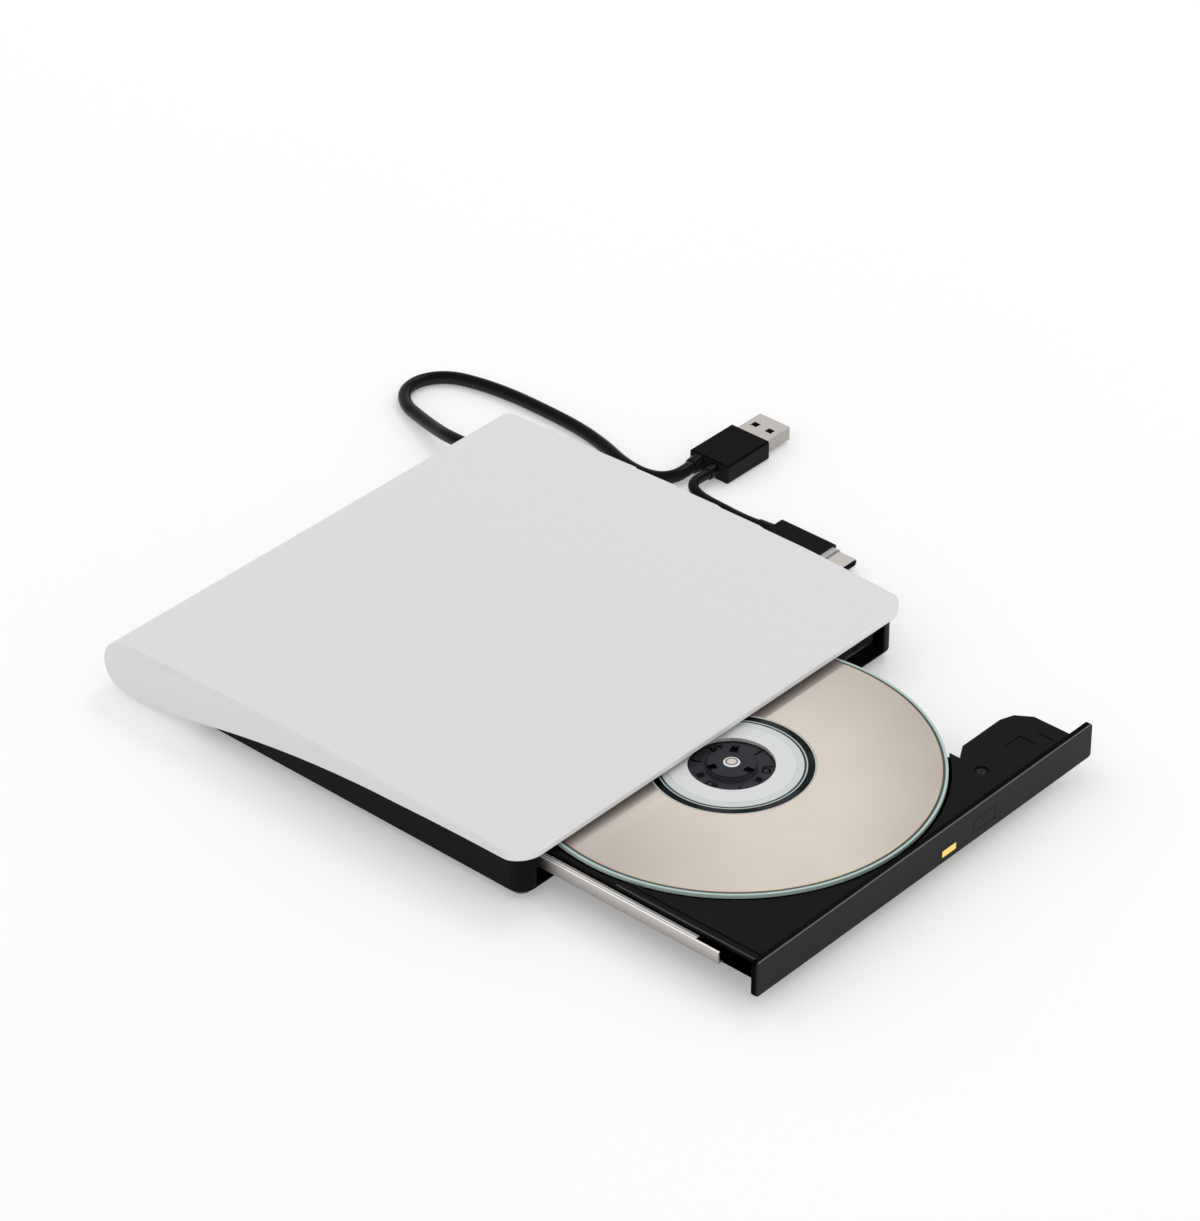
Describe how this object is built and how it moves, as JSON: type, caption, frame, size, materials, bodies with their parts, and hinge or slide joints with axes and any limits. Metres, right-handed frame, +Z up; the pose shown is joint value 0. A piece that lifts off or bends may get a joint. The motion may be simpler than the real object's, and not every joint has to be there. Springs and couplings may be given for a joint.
{
  "type": "external disc drive",
  "caption": "Slim external disc drive in a white wing-shaped casing, its black tray partly out with a disc on the hub, and a short captive cord with two plugs.",
  "frame": {"origin": "on the surface under the middle of the drive, as it stands with its tray 78 mm out", "axes": "+X to the right seen from the front, +Y to the rear, +Z up"},
  "size_m": [0.2323, 0.2845, 0.0198],
  "materials": {
    "lid_white": "white moulded plastic with a very fine woven texture",
    "base_black": "black satin plastic",
    "rubber_black": "black rubber",
    "screw_steel": "blackened and plain steel screws",
    "sheet_steel": "zinc-plated sheet steel",
    "guide_black": "black sliding plastic",
    "board_green": "circuit board lacquer",
    "chip_black": "black moulded component cases",
    "tray_black": "finely grained black plastic",
    "bezel_black": "dark satin-gloss plastic",
    "lamp_amber": "lit amber window",
    "button_black": "dark satin-gloss plastic",
    "cover_steel_black": "black coated sheet",
    "flex_amber": "polyimide flat cable",
    "motor_copper": "copper windings on steel teeth",
    "hub_black": "black moulded plastic",
    "pin_chrome": "polished steel",
    "disc_gold": "pale gold reflective disc in clear plastic",
    "rod_steel": "ground steel",
    "sled_metal": "die-cast metal",
    "lens_glass": "coated lens",
    "nylon_white": "natural nylon",
    "rail_steel": "bright brushed steel",
    "cord_black": "black cable jacket",
    "plug_black": "black moulded plug body",
    "plug_steel": "nickel-plated shell",
    "plug_grey": "grey collar"
  },
  "bodies": {
    "casing": {"top_cover": "lid_white", "base_cover": "base_black", "rubber_feet": "rubber_black", "base_screws": "screw_steel", "drive_bottom_shell": "sheet_steel", "drive_top_shell": "sheet_steel", "drive_shell_screws": "screw_steel", "left_rail_guide": "guide_black", "right_rail_guide": "guide_black", "main_board": "board_green", "main_board_chips": "chip_black", "drive_connector": "chip_black", "bridge_board": "board_green", "latch_post": "screw_steel", "ejector_bracket": "guide_black", "ejector_spring": "rod_steel", "cord_grommet": "cord_black", "main_cord": "cord_black", "short_cord": "cord_black", "cord_sleeves": "cord_black", "usb_a_housing": "plug_black", "usb_a_shell": "plug_steel", "usb_a_tongue": "plug_black", "usb_c_housing": "plug_black", "usb_c_sleeve": "cord_black", "usb_c_collar": "plug_grey", "usb_c_shell": "plug_steel"},
    "tray": {"tray": "tray_black", "bezel": "bezel_black", "led_window": "lamp_amber", "traverse_plate": "cover_steel_black", "tray_board": "board_green", "tray_board_chips": "chip_black", "eject_switch": "chip_black", "status_lamp": "lamp_amber", "ribbon_cable": "flex_amber", "spindle_stator": "motor_copper", "guide_rods": "rod_steel", "rod_clamps": "guide_black", "sled_motor": "sheet_steel", "sled_motor_bracket": "sheet_steel", "latch_solenoid": "motor_copper", "tray_screws": "screw_steel"},
    "left_rail": {"left_rail": "rail_steel"},
    "right_rail": {"right_rail": "rail_steel"},
    "spindle": {"turntable": "hub_black", "turntable_ring": "rubber_black", "hub_claws": "hub_black", "centre_pin": "pin_chrome", "disc": "disc_gold"},
    "sled": {"pickup_sled": "sled_metal", "laser_unit": "sled_metal", "sled_follower": "nylon_white"},
    "lens": {"lens_holder": "hub_black", "objective_lens": "lens_glass"},
    "lead_screw": {"lead_screw": "rod_steel"},
    "eject_button": {"eject_button": "button_black"},
    "latch_hook": {"latch_hook": "nylon_white"},
    "plunger": {"solenoid_plunger": "rod_steel"},
    "ejector": {"ejector_rod": "nylon_white"}
  },
  "joints": [
    {"name": "tray_slide", "type": "slide", "parent": "casing", "child": "tray", "axis": [0, -1, 0], "range_m": [-0.078, 0.051]},
    {"name": "left_rail_slide", "type": "slide", "parent": "casing", "child": "left_rail", "axis": [0, -1, 0], "range_m": [-0.0711, 0.0465]},
    {"name": "right_rail_slide", "type": "slide", "parent": "casing", "child": "right_rail", "axis": [0, -1, 0], "range_m": [-0.0711, 0.0465]},
    {"name": "ejector_slide", "type": "slide", "parent": "casing", "child": "ejector", "axis": [0, -1, 0], "range_m": [-0.0073, 0.0048]},
    {"name": "spindle_spin", "type": "hinge", "parent": "tray", "child": "spindle", "pos_m": [-0.0075, -0.054, 0.0128], "axis": [0, 0, 1], "continuous": true},
    {"name": "sled_travel", "type": "slide", "parent": "tray", "child": "sled", "axis": [0, 1, 0], "range_m": [0, 0.036]},
    {"name": "lead_screw_turn", "type": "hinge", "parent": "tray", "child": "lead_screw", "pos_m": [-0.0316, -0.02, 0.0084], "axis": [0, 1, 0], "range_deg": [-1, 4321]},
    {"name": "lens_focus", "type": "slide", "parent": "sled", "child": "lens", "axis": [0, 0, 1], "range_m": [-0.0005, 0.0005], "stiffness_N_per_m": 50},
    {"name": "eject_button_press", "type": "slide", "parent": "tray", "child": "eject_button", "axis": [0, 1, 0], "range_m": [0, 0.0005], "stiffness_N_per_m": 300},
    {"name": "latch_turn", "type": "hinge", "parent": "tray", "child": "latch_hook", "pos_m": [0.054, -0.108, 0.0079], "axis": [0, 0, 1], "range_deg": [-10, 0]},
    {"name": "plunger_slide", "type": "slide", "parent": "tray", "child": "plunger", "axis": [0, 1, 0], "range_m": [0, 0.000785], "stiffness_N_per_m": 100}
  ],
  "couplings": [
    {"joint": "left_rail_slide", "follows": "tray_slide", "ratio": 0.91},
    {"joint": "right_rail_slide", "follows": "tray_slide", "ratio": 0.91},
    {"joint": "ejector_slide", "follows": "tray_slide", "ratio": 0.093},
    {"joint": "lead_screw_turn", "follows": "sled_travel", "rad_per_m": 2094.4},
    {"joint": "latch_turn", "follows": "plunger_slide", "rad_per_m": -222.2}
  ]
}
